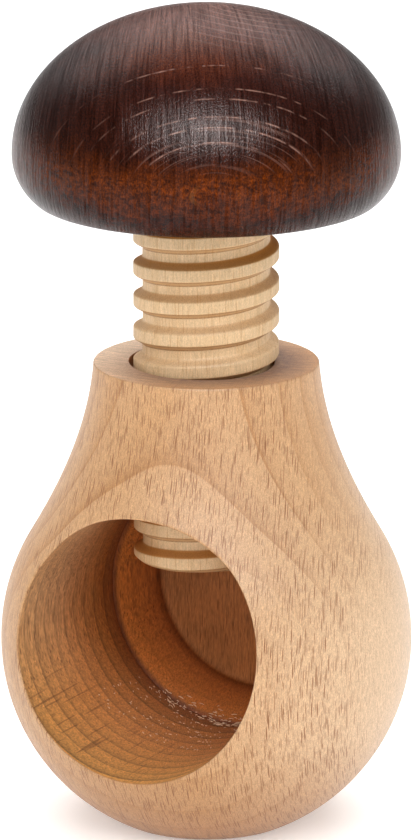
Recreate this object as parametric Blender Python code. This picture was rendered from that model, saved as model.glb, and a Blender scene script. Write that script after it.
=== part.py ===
"""Mushroom nutcracker: a turned beech body with a bored nut chamber, and a wooden screw with a mushroom cap.

Turning the cap to the right drives the screw down into the chamber, where its flat end presses the nut
against the chamber's floor. The part stands on its flat base, with +Z along the screw and the chamber's
mouth facing -Y. The origin is the centre of the base, on the axis that the body was turned about.
"""

import math

import bmesh
import bpy
import numpy as np
from mathutils import Matrix

MM = 0.001

# Body, turned in one piece: a ball with a flat base, a straight-sloped shoulder and a slender neck.
BELLY_RADIUS = 35.0 * MM
BODY_HEIGHT = 80.4 * MM
BASE_RADIUS = 14.4 * MM
NECK_WALL = 5.95 * MM
SHOULDER_ANGLE = math.radians(31.0)
NECK_SLOPE = -0.072

# Nut chamber, bored into the front of the belly: a straight bore that tapers near its flat back.
CHAMBER_RADIUS = 22.3 * MM
CHAMBER_FLOOR = 14.0 * MM
CHAMBER_BACK_WALL = 15.0 * MM
CHAMBER_TAPER_LENGTH = 11.5 * MM
CHAMBER_TAPER = 3.4 * MM
CHAMBER_STEP = 0.4 * MM

# Screw: one right-hand thread with rounded-off square ridges.
CREST_RADIUS = 12.35 * MM
THREAD_DEPTH = 1.55 * MM
PITCH = 5.55 * MM
CREST_WIDTH = 2.2 * MM
FLANK_RISE = 0.8 * MM
CREST_ABOVE_NECK = 2.03 * MM
SCREW_IN_CHAMBER = 12.3 * MM
SCREW_ABOVE_NECK = 27.8 * MM
SCREW_CHAMFER = 0.6 * MM
THREAD_RADIAL_CLEARANCE = 0.8 * MM
THREAD_AXIAL_CLEARANCE = 0.35 * MM

# Cap: a half-ellipse dome over a rim that turns in to a flat underside.
CAP_RADIUS = 32.7 * MM
CAP_DOME_HEIGHT = 24.8 * MM
CAP_RIM_ARC = 9.8 * MM
CAP_RIM_TURN_IN = math.radians(54.7)
GLUE_GAP = 0.3 * MM

# Dowel that pins the cap to the screw.
DOWEL_RADIUS = 4.0 * MM
DOWEL_IN_SCREW = 14.0 * MM
DOWEL_IN_CAP = 14.0 * MM
DOWEL_CHAMFER = 0.8 * MM
DOWEL_CLEARANCE = 0.3 * MM

# Facets.
BODY_SIDES = 64
CHAMBER_SIDES = 48
THREAD_SIDES = 32
DOWEL_SIDES = 24
BELLY_STEPS = 15
NECK_STEPS = 8
DOME_STEPS = 11
RIM_STEPS = 4
OVERSHOOT = 3.0 * MM

# Places and widths that follow from the sizes above.
BELLY_HEIGHT = math.sqrt(BELLY_RADIUS**2 - BASE_RADIUS**2)
CHAMBER_HEIGHT = CHAMBER_FLOOR + CHAMBER_RADIUS
CHAMBER_BACK = BELLY_RADIUS - CHAMBER_BACK_WALL
ROOT_WIDTH = PITCH - CREST_WIDTH - 2 * FLANK_RISE
TAP_CREST_RADIUS = CREST_RADIUS + THREAD_RADIAL_CLEARANCE
NECK_RADIUS = TAP_CREST_RADIUS + NECK_WALL
SCREW_END = CHAMBER_HEIGHT + CHAMBER_RADIUS - SCREW_IN_CHAMBER
SCREW_TOP = BODY_HEIGHT + SCREW_ABOVE_NECK
CAP_UNDERSIDE = SCREW_TOP + GLUE_GAP
CAP_WIDEST = CAP_UNDERSIDE + CAP_RIM_ARC * math.sin(CAP_RIM_TURN_IN)


def clear_scene():
    """Remove whatever the file opened with."""
    for obj in list(bpy.data.objects):
        bpy.data.objects.remove(obj, do_unlink=True)


def wood(name, color, roughness):
    """A plain wood finish: linear colour and roughness."""
    material = bpy.data.materials.new(name)
    material.use_nodes = True
    shader = material.node_tree.nodes["Principled BSDF"]
    shader.inputs["Base Color"].default_value = (*color, 1.0)
    shader.inputs["Roughness"].default_value = roughness
    shader.inputs["Metallic"].default_value = 0.0
    material.diffuse_color = (*color, 1.0)
    return material


def object_from(mesh_data, name):
    """Turn a bmesh into an object with outward faces, linked to the scene."""
    bmesh.ops.recalc_face_normals(mesh_data, faces=mesh_data.faces)
    mesh = bpy.data.meshes.new(name)
    mesh_data.to_mesh(mesh)
    mesh_data.free()
    obj = bpy.data.objects.new(name, mesh)
    bpy.context.scene.collection.objects.link(obj)
    return obj


def turned(name, outline, sides):
    """Spin an outline of (radius, height) points, which starts and ends on the axis, about +Z."""
    mesh_data = bmesh.new()
    chain = [mesh_data.verts.new((radius, 0.0, height)) for radius, height in outline]
    edges = [mesh_data.edges.new(pair) for pair in zip(chain[:-1], chain[1:])]
    bmesh.ops.spin(
        mesh_data,
        geom=chain + edges,
        axis=(0.0, 0.0, 1.0),
        cent=(0.0, 0.0, 0.0),
        angle=math.tau,
        steps=sides,
        use_merge=True,
    )
    bmesh.ops.remove_doubles(mesh_data, verts=mesh_data.verts, dist=0.001 * MM)
    return object_from(mesh_data, name)


def threaded_rod(name, crest_radius, root_radius, crest_half, root_half, low, high):
    """A rod with a helical ridge, cut square at both ends.

    The grid follows the helix. Each pitch has four rows: the two edges of the crest, at crest_half each
    side of its centre, and the two edges of the root. A full turn lifts every row by one pitch.
    """
    crest_base = BODY_HEIGHT + CREST_ABOVE_NECK
    first = math.floor((low - crest_base) / PITCH) - 2
    last = math.ceil((high - crest_base) / PITCH) + 2
    turns = np.arange(first, last)[:, None] * PITCH
    offsets = np.array([-crest_half, crest_half, PITCH / 2 - root_half, PITCH / 2 + root_half])
    radii = np.tile([crest_radius, crest_radius, root_radius, root_radius], last - first)
    heights = crest_base + (turns + offsets).ravel()
    angles = np.linspace(0.0, math.tau, THREAD_SIDES, endpoint=False)
    x = np.cos(angles)[:, None] * radii
    y = np.sin(angles)[:, None] * radii
    z = (angles / math.tau * PITCH)[:, None] + heights
    rows = len(radii)
    column, row = np.meshgrid(np.arange(THREAD_SIDES), np.arange(rows - 5), indexing="ij")
    here = column * rows + row
    after = ((column + 1) % THREAD_SIDES) * rows + row + 4 * (column + 1 == THREAD_SIDES)
    quads = np.stack([here, after, after + 1, here + 1], axis=-1).reshape(-1, 4)
    mesh = bpy.data.meshes.new(name + "_grid")
    mesh.from_pydata(np.stack([x, y, z], axis=-1).reshape(-1, 3).tolist(), [], quads.tolist())
    mesh_data = bmesh.new()
    mesh_data.from_mesh(mesh)
    bpy.data.meshes.remove(mesh)
    for height, outward in ((low, -1.0), (high, 1.0)):
        square_end(mesh_data, height, outward)
    loose = [vert for vert in mesh_data.verts if not vert.link_faces]
    bmesh.ops.delete(mesh_data, geom=loose, context="VERTS")
    return object_from(mesh_data, name)


def square_end(mesh_data, height, outward):
    """Cut a rod off at a height and close it with one flat face."""
    everything = list(mesh_data.verts) + list(mesh_data.edges) + list(mesh_data.faces)
    cut = bmesh.ops.bisect_plane(
        mesh_data,
        geom=everything,
        dist=0.0001 * MM,
        plane_co=(0.0, 0.0, height),
        plane_no=(0.0, 0.0, outward),
        clear_outer=True,
    )
    rim = [item for item in cut["geom_cut"] if isinstance(item, bmesh.types.BMEdge)]
    bmesh.ops.holes_fill(mesh_data, edges=rim, sides=0)


def cylinder(name, radius, low, high, chamfer, sides):
    """A turned peg with chamfered ends."""
    outline = [(0.0, low), (radius - chamfer, low), (radius, low + chamfer)]
    outline += [(radius, high - chamfer), (radius - chamfer, high), (0.0, high)]
    return turned(name, outline, sides)


def plain_bore(name, radius, low, high):
    """A square-ended cutter for a dowel's hole."""
    return turned(name, [(0.0, low), (radius, low), (radius, high), (0.0, high)], DOWEL_SIDES)


def combine(obj, cutter, operation):
    """Apply the cutter to the object with an exact Boolean, and keep the cutter out of the model."""
    cutter.hide_render = True
    cutter.display_type = "WIRE"
    modifier = obj.modifiers.new(cutter.name, "BOOLEAN")
    modifier.operation = operation
    modifier.solver = "EXACT"
    modifier.object = cutter


def finish(obj, material, crease):
    """Give a piece its material, shaded smooth with sharp creases."""
    obj.data.materials.append(material)
    obj.data.shade_smooth()
    obj.data.set_sharp_from_angle(angle=crease)


def body_outline():
    """Base, ball up to the shoulder's tangent point, then a cubic that eases into the neck."""
    base_angle = -math.asin(BELLY_HEIGHT / BELLY_RADIUS)
    belly = [
        (BELLY_RADIUS * math.cos(angle), BELLY_HEIGHT + BELLY_RADIUS * math.sin(angle))
        for angle in np.linspace(base_angle, SHOULDER_ANGLE, BELLY_STEPS + 1).tolist()
    ]
    shoulder_radius, shoulder_height = belly[-1]
    rise = BODY_HEIGHT - shoulder_height
    shoulder_slope = -math.tan(SHOULDER_ANGLE)
    neck = []
    for step in range(1, NECK_STEPS + 1):
        t = step / NECK_STEPS
        radius = (2 * t**3 - 3 * t**2 + 1) * shoulder_radius + (3 * t**2 - 2 * t**3) * NECK_RADIUS
        radius += (t**3 - 2 * t**2 + t) * rise * shoulder_slope + (t**3 - t**2) * rise * NECK_SLOPE
        neck.append((radius, shoulder_height + t * rise))
    return [(0.0, 0.0), *belly, *neck, (0.0, BODY_HEIGHT)]


def chamber_cutter():
    """The cutter's path: a straight bore, a small step where it stopped, a taper and a flat back."""
    straight_end = CHAMBER_BACK - CHAMBER_TAPER_LENGTH
    taper_start = CHAMBER_RADIUS - CHAMBER_STEP
    outline = [
        (0.0, -BELLY_RADIUS - OVERSHOOT),
        (CHAMBER_RADIUS, -BELLY_RADIUS - OVERSHOOT),
        (CHAMBER_RADIUS, straight_end),
        (taper_start, straight_end),
        (taper_start - CHAMBER_TAPER, CHAMBER_BACK),
        (0.0, CHAMBER_BACK),
    ]
    cutter = turned("chamber_cutter", outline, CHAMBER_SIDES)
    along_bore = Matrix.Rotation(-math.pi / 2, 4, "X")
    cutter.data.transform(Matrix.Translation((0.0, 0.0, CHAMBER_HEIGHT)) @ along_bore)
    return cutter


def make_body(material):
    """The turned body, bored for the nut and tapped through the neck for the screw."""
    body = turned("body", body_outline(), BODY_SIDES)
    combine(body, chamber_cutter(), "DIFFERENCE")
    tap = threaded_rod(
        "neck_tap",
        TAP_CREST_RADIUS,
        TAP_CREST_RADIUS - THREAD_DEPTH,
        CREST_WIDTH / 2 + THREAD_AXIAL_CLEARANCE,
        ROOT_WIDTH / 2 - THREAD_AXIAL_CLEARANCE,
        CHAMBER_HEIGHT,
        BODY_HEIGHT + OVERSHOOT,
    )
    combine(body, tap, "DIFFERENCE")
    finish(body, material, math.radians(35.0))
    return body


def make_spindle(material):
    """The wooden screw: a threaded rod turned down to a blank, with a blind hole for the dowel."""
    spindle = threaded_rod(
        "spindle",
        CREST_RADIUS,
        CREST_RADIUS - THREAD_DEPTH,
        CREST_WIDTH / 2,
        ROOT_WIDTH / 2,
        SCREW_END - OVERSHOOT,
        SCREW_TOP + OVERSHOOT,
    )
    blank_radius = CREST_RADIUS + SCREW_CHAMFER
    blank = cylinder(
        "screw_blank", blank_radius, SCREW_END, SCREW_TOP, 2 * SCREW_CHAMFER, THREAD_SIDES
    )
    combine(spindle, blank, "INTERSECT")
    hole_end = SCREW_TOP - DOWEL_IN_SCREW - DOWEL_CLEARANCE
    hole = plain_bore(
        "screw_hole", DOWEL_RADIUS + DOWEL_CLEARANCE, hole_end, SCREW_TOP + OVERSHOOT
    )
    combine(spindle, hole, "DIFFERENCE")
    finish(spindle, material, math.radians(35.0))
    return spindle


def cap_outline():
    """Flat underside, rim arc up to the widest circle, and a half-ellipse dome above it."""
    arc_centre = CAP_RADIUS - CAP_RIM_ARC
    rim = [
        (arc_centre + CAP_RIM_ARC * math.cos(angle), CAP_WIDEST + CAP_RIM_ARC * math.sin(angle))
        for angle in np.linspace(-CAP_RIM_TURN_IN, 0.0, RIM_STEPS + 1).tolist()
    ]
    dome = [
        (CAP_RADIUS * math.cos(angle), CAP_WIDEST + CAP_DOME_HEIGHT * math.sin(angle))
        for angle in np.linspace(0.0, math.pi / 2, DOME_STEPS + 1)[1:-1].tolist()
    ]
    return [(0.0, CAP_UNDERSIDE), *rim, *dome, (0.0, CAP_WIDEST + CAP_DOME_HEIGHT)]


def make_cap(material):
    """The mushroom cap, with a blind hole for the dowel in its underside."""
    cap = turned("cap", cap_outline(), BODY_SIDES)
    hole_end = CAP_UNDERSIDE + DOWEL_IN_CAP + DOWEL_CLEARANCE
    hole = plain_bore(
        "cap_hole", DOWEL_RADIUS + DOWEL_CLEARANCE, CAP_UNDERSIDE - OVERSHOOT, hole_end
    )
    combine(cap, hole, "DIFFERENCE")
    finish(cap, material, math.radians(35.0))
    return cap


def make_dowel(material):
    """The round dowel between the screw and the cap."""
    low = SCREW_TOP - DOWEL_IN_SCREW
    high = CAP_UNDERSIDE + DOWEL_IN_CAP
    dowel = cylinder("dowel", DOWEL_RADIUS, low, high, DOWEL_CHAMFER, DOWEL_SIDES)
    finish(dowel, material, math.radians(35.0))
    return dowel


def axis_empty(name, parent):
    """An empty on the screw's axis at the neck's top face, which its pieces move with."""
    empty = bpy.data.objects.new(name, None)
    bpy.context.scene.collection.objects.link(empty)
    empty.parent = parent
    if parent is None:
        empty.location = (0.0, 0.0, BODY_HEIGHT)
    return empty


def hang_on(piece, empty):
    """Parent a piece to an empty, with its origin at the empty and its shape where it was."""
    piece.data.transform(Matrix.Translation((0.0, 0.0, -BODY_HEIGHT)))
    piece.parent = empty
    for modifier in piece.modifiers:
        modifier.object.data.transform(Matrix.Translation((0.0, 0.0, -BODY_HEIGHT)))
        modifier.object.parent = empty


def main():
    clear_scene()
    beech = wood("beech", (0.62, 0.36, 0.20), 0.6)
    pale_beech = wood("pale_beech", (0.68, 0.47, 0.25), 0.6)
    stained_beech = wood("stained_beech", (0.09, 0.03, 0.018), 0.35)
    make_body(beech)
    travel = axis_empty("screw_travel_axis", None)
    turn = axis_empty("screw_turn_axis", travel)
    hang_on(make_dowel(pale_beech), travel)
    hang_on(make_spindle(pale_beech), turn)
    hang_on(make_cap(stained_beech), turn)


if __name__ == "__main__":
    main()
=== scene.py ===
"""The looks of a mushroom nutcracker: turned beech body, threaded wooden screw and stained cap."""

import functools
import math
from types import SimpleNamespace

import bmesh
import bpy
import numpy as np
from bpy.props import FloatProperty, FloatVectorProperty, PointerProperty
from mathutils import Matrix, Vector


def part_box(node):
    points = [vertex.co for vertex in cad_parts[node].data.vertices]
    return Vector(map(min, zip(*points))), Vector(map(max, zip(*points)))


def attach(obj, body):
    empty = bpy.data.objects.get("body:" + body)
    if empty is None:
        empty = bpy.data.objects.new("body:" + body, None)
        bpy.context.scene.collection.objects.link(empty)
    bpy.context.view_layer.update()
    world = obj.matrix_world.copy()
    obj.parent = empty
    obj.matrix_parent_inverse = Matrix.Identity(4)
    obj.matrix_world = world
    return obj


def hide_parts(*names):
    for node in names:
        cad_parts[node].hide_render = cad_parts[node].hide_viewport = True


bl_info = {
    "name": "Mushroom Nutcracker",
    "version": (1, 0, 0),
    "blender": (4, 5, 0),
    "location": "View3D > Sidebar > Nutcracker",
    "description": "Builds the turned beech pieces of a screw nutcracker around its packed frame",
    "category": "Object",
}

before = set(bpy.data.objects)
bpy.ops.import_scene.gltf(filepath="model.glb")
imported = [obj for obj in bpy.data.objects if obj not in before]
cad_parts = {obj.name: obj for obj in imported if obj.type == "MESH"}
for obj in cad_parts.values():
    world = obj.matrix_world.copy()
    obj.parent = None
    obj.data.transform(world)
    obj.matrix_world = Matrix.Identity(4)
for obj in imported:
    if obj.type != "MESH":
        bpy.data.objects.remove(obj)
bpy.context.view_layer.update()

MM = 0.001

# The outline where the ball becomes the shoulder, as an angle over the ball's widest circle, and how much the
# radius changes with height where the neck ends.
SHOULDER_ANGLE = math.radians(31.0)
NECK_SLOPE = -0.072

# How far the edge between a flank and the ridge's flat top is rounded, as a share of the flank.
RIDGE_ROUNDING = 0.34

# Room for glue round the hidden dowel.
GLUE_GAP = 0.3 * MM

# Every closed loop round the body, the chamber and the neck's hole has this many points, so that they join.
# The edge of each window has as many: the one round the mouth and the one in the chamber's ceiling.
LOOP = 256
FRONT_COLUMNS = 72
FRONT_ROWS = LOOP // 2 - FRONT_COLUMNS
CEILING_COLUMNS = 64
CEILING_ROWS = LOOP // 2 - CEILING_COLUMNS


def linear(hex_colour):
    """An sRGB hex colour such as "#d9a97d" as linear red, green and blue."""
    channels = [int(hex_colour[i : i + 2], 16) / 255 for i in (1, 3, 5)]
    return tuple(c / 12.92 if c <= 0.04045 else ((c + 0.055) / 1.055) ** 2.4 for c in channels)


def length(name, description, default):
    """A length in metres that a user may change."""
    kind = {"unit": "LENGTH", "subtype": "DISTANCE"}
    return FloatProperty(name=name, description=description, default=default, min=0.0, precision=5, **kind)


def colour(name, description, hex_colour):
    """A colour that a user may change."""
    kind = {"size": 3, "subtype": "COLOR", "min": 0.0, "max": 1.0}
    return FloatVectorProperty(name=name, description=description, default=linear(hex_colour), **kind)


BODY_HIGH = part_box("body")[1]
SPINDLE_LOW, SPINDLE_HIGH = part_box("spindle")
CAP_LOW, CAP_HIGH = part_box("cap")
DOWEL_LOW, DOWEL_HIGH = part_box("dowel")


class NutcrackerSizes(bpy.types.PropertyGroup):
    """Real sizes of the turned pieces."""

    belly_radius: length("Belly radius", "Radius of the ball that the belly is turned to", BODY_HIGH.x)
    body_height: length("Body height", "Height of the body from its base to the neck's top", BODY_HIGH.z)
    base_radius: length("Base radius", "Radius of the flat that the body stands on", 14.4 * MM)
    neck_radius: length("Neck radius", "Radius of the neck's flat top", 19.1 * MM)
    chamber_radius: length("Chamber radius", "Radius of the nut chamber's straight bore", 22.3 * MM)
    chamber_floor: length("Chamber floor", "Wood left between the base and the chamber", 14.0 * MM)
    chamber_back_wall: length("Chamber back wall", "Wood left behind the chamber's flat back", 15.0 * MM)
    chamber_taper_length: length("Chamber taper length", "Depth of the chamber's tapered end", 11.5 * MM)
    chamber_taper: length("Chamber taper", "How much the radius drops along the taper", 3.4 * MM)
    chamber_step: length("Chamber step", "Ledge left where the straight bore stops", 0.4 * MM)
    lip: length("Lip", "Width of the rounded edge at the chamber's mouth", 0.55 * MM)
    crest_radius: length("Crest radius", "Outer radius of the screw's thread", SPINDLE_HIGH.x)
    thread_depth: length("Thread depth", "Height of the thread's ridge", 1.55 * MM)
    pitch: length("Pitch", "Rise of the thread in one turn", 5.55 * MM)
    crest_width: length("Crest width", "Width of the ridge's flat top", 2.2 * MM)
    flank_rise: length("Flank rise", "Width of each sloping side of the ridge", 0.8 * MM)
    crest_above_neck: length("Thread start", "Height of a ridge over the neck's top, on the +X side", 2.03 * MM)
    tap_clearance: length("Tap clearance", "Radial play of the screw in the neck", 0.8 * MM)
    tap_axial_clearance: length("Tap axial clearance", "Play of the ridge in its groove", 0.35 * MM)
    cap_rim_arc: length("Cap rim arc", "Radius of the arc under the cap's widest circle", 9.8 * MM)
    cap_dome_height: length("Cap dome height", "Height of the dome over the widest circle", 24.8 * MM)


class NutcrackerColours(bpy.types.PropertyGroup):
    """Colours of the woods."""

    beech_light: colour("Beech, early wood", "Sanded beech between the growth lines", "#bb9166")
    beech_dark: colour("Beech, late wood", "Sanded beech at the growth lines", "#9d6b3a")
    beech_ray: colour("Beech, rays", "The short flecks of the rays", "#7c4719")
    bore_light: colour("Bored beech", "The raw wall of the chamber", "#c68d48")
    bore_deep: colour("Bored beech, deep", "The raw wall near the chamber's back", "#cc7a36")
    pale_light: colour("Pale beech", "The screw's ridges and grooves", "#d0b087")
    # This colour is also the painted shade of the cap on the screw's upper flanks.
    cut_grain_and_shade: colour("Cut grain", "The screw's flanks, cut across the grain", "#a96d1e")
    stain_light: colour("Stain, thin", "Stained beech where the stain is thin", "#451a02")
    stain_dark: colour("Stain, full", "Stained beech where the stain is full", "#270b03")


def sizes(context):
    """The sizes as plain numbers, with those that follow from them."""
    given = context.scene.nutcracker_sizes
    s = SimpleNamespace(**{key: getattr(given, key) for key in NutcrackerSizes.__annotations__})
    s.belly_height = math.sqrt(s.belly_radius**2 - s.base_radius**2)
    s.shoulder_height = s.belly_height + s.belly_radius * math.sin(SHOULDER_ANGLE)
    s.shoulder_radius = s.belly_radius * math.cos(SHOULDER_ANGLE)
    s.chamber_height = s.chamber_floor + s.chamber_radius
    s.chamber_back = s.belly_radius - s.chamber_back_wall
    s.straight_end = s.chamber_back - s.chamber_taper_length
    s.tap_radius = s.crest_radius + s.tap_clearance
    s.cap_radius = CAP_HIGH.x
    s.cap_widest = CAP_HIGH.z - s.cap_dome_height
    s.cap_underside = CAP_LOW.z
    s.screw_end = SPINDLE_LOW.z
    s.screw_top = SPINDLE_HIGH.z
    s.dowel_hole_radius = DOWEL_HIGH.x + GLUE_GAP
    s.dowel_hole_low = DOWEL_LOW.z - GLUE_GAP
    s.dowel_hole_high = DOWEL_HIGH.z + GLUE_GAP
    return s


# ---------------------------------------------------------------- surfaces


def ease(t):
    """Smooth step: 0 below 0, 1 above 1, with level ends."""
    t = np.clip(t, 0.0, 1.0)
    return t * t * (3 - 2 * t)


def soft_floor(t, softness):
    """t held over 0, with the corner rounded by a parabola that reaches the softness to each side."""
    return np.where(t < softness, np.maximum(t + softness, 0.0) ** 2 / (4 * softness), t)


def soft_clip(t, softness):
    """t held between 0 and 1, with both corners rounded."""
    return 1.0 - soft_floor(1.0 - soft_floor(t, softness), softness)


def full_turn(count):
    """Angles of the points of a closed loop, from -pi, without a repeat."""
    return np.linspace(-math.pi, math.pi, count, endpoint=False)


def ring(radius, angle, height):
    """Points at a radius and height; the angle is 0 at the front, -Y, and a quarter turn at +X."""
    radius, angle, height = np.broadcast_arrays(radius, angle, height)
    return np.stack([radius * np.sin(angle), -radius * np.cos(angle), height], axis=-1)


def body_radius(z, s):
    """The turned outline: a ball up to the shoulder, then a cubic that eases into the neck."""
    ball = np.sqrt(np.maximum(s.belly_radius**2 - (z - s.belly_height) ** 2, 0.0))
    rise = s.body_height - s.shoulder_height
    t = np.clip((z - s.shoulder_height) / rise, 0.0, 1.0)
    neck = (2 * t**3 - 3 * t**2 + 1) * s.shoulder_radius + (3 * t**2 - 2 * t**3) * s.neck_radius
    neck = neck - (t**3 - 2 * t**2 + t) * rise * math.tan(SHOULDER_ANGLE)
    neck = neck + (t**3 - t**2) * rise * NECK_SLOPE
    return np.where(z < s.shoulder_height, ball, neck)


def bore_radius(y, s):
    """The chamber's radius at a depth: straight, then a small ledge, 0.8 mm wide, and a taper."""
    ledge = s.chamber_step * ease((y - s.straight_end) / (0.8 * MM))
    taper = s.chamber_taper * np.clip((y - s.straight_end) / s.chamber_taper_length, 0.0, 1.0)
    return s.chamber_radius - ledge - taper


def thread_radius(angle, z, crest, half_crest, s):
    """Radius of a threaded surface: a ridge with rounded edges that climbs one pitch a turn."""
    turn = angle / math.tau - 0.25
    base = s.body_height + s.crest_above_neck + s.pitch * turn
    off = np.abs((z - base + s.pitch / 2) % s.pitch - s.pitch / 2)
    share = (half_crest + s.flank_rise - off) / s.flank_rise
    return crest - s.thread_depth + s.thread_depth * soft_clip(share, RIDGE_ROUNDING)


def bezier(start, corner, end, steps):
    """Loops along a quadratic Bezier from one loop to another, pulled towards a corner loop."""
    t = np.linspace(0.0, 1.0, steps + 1)[:, None, None]
    return (1 - t) ** 2 * start + 2 * t * (1 - t) * corner + t**2 * end


def between(first, last, count, power=1.0):
    """A count of loops on the straight lines from one loop to another, both included.

    A power below 1 brings them closer together towards the last.
    """
    t = np.linspace(0, 1, count)[:, None, None] ** power
    return first + t * (last - first)


def skin_faces(rows, columns, wrap=True):
    """Quads of a grid of rows by columns, whose columns may close into a loop."""
    row, column = np.meshgrid(np.arange(rows - 1), np.arange(columns - (not wrap)), indexing="ij")
    after = (column + 1) % columns
    here, above = row * columns, (row + 1) * columns
    quads = [here + column, here + after, above + after, above + column]
    return np.stack(quads, axis=-1).reshape(-1, 4)


def build(name, parts, crease=40.0):
    """Make one closed mesh from parts of (points, wrap, material index), joined where their edges meet.

    An edge that turns by more than the crease, in degrees, is shown sharp.
    """
    points, faces, slots, offset = [], [], [], 0
    for grid, wrap, slot in parts:
        rows, columns = grid.shape[:2]
        quads = skin_faces(rows, columns, wrap) + offset
        points.append(grid.reshape(-1, 3))
        faces.append(quads)
        slots.append(np.full(len(quads), slot))
        offset += rows * columns
    mesh = bpy.data.meshes.new(name)
    mesh.from_pydata(np.concatenate(points), [], np.concatenate(faces).tolist())
    mesh.polygons.foreach_set("material_index", np.concatenate(slots))
    work = bmesh.new()
    work.from_mesh(mesh)
    bmesh.ops.remove_doubles(work, verts=work.verts, dist=0.002 * MM)
    bmesh.ops.dissolve_degenerate(work, edges=work.edges, dist=0.0001 * MM)
    bmesh.ops.recalc_face_normals(work, faces=work.faces)
    work.to_mesh(mesh)
    work.free()
    mesh.shade_smooth()
    mesh.set_sharp_from_angle(angle=math.radians(crease))
    obj = bpy.data.objects.new(name, mesh)
    bpy.context.scene.collection.objects.link(obj)
    return obj


def window_edge(angles, levels, first, last, toward):
    """The points (angle, level) round the window that two columns leave in a grid, and the direction of each.

    They come in the order of that direction, which toward gives as an angle about the window's middle.
    """
    grid = np.stack(np.broadcast_arrays(angles, levels[:, None]), axis=-1)
    edge = np.concatenate([grid[0, first:last], grid[:-1, last], grid[-1, last:first:-1], grid[:0:-1, first]])
    direction = toward(edge[:, 0], edge[:, 1])
    order = np.argsort(direction)
    return edge[order], direction[order]


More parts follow.
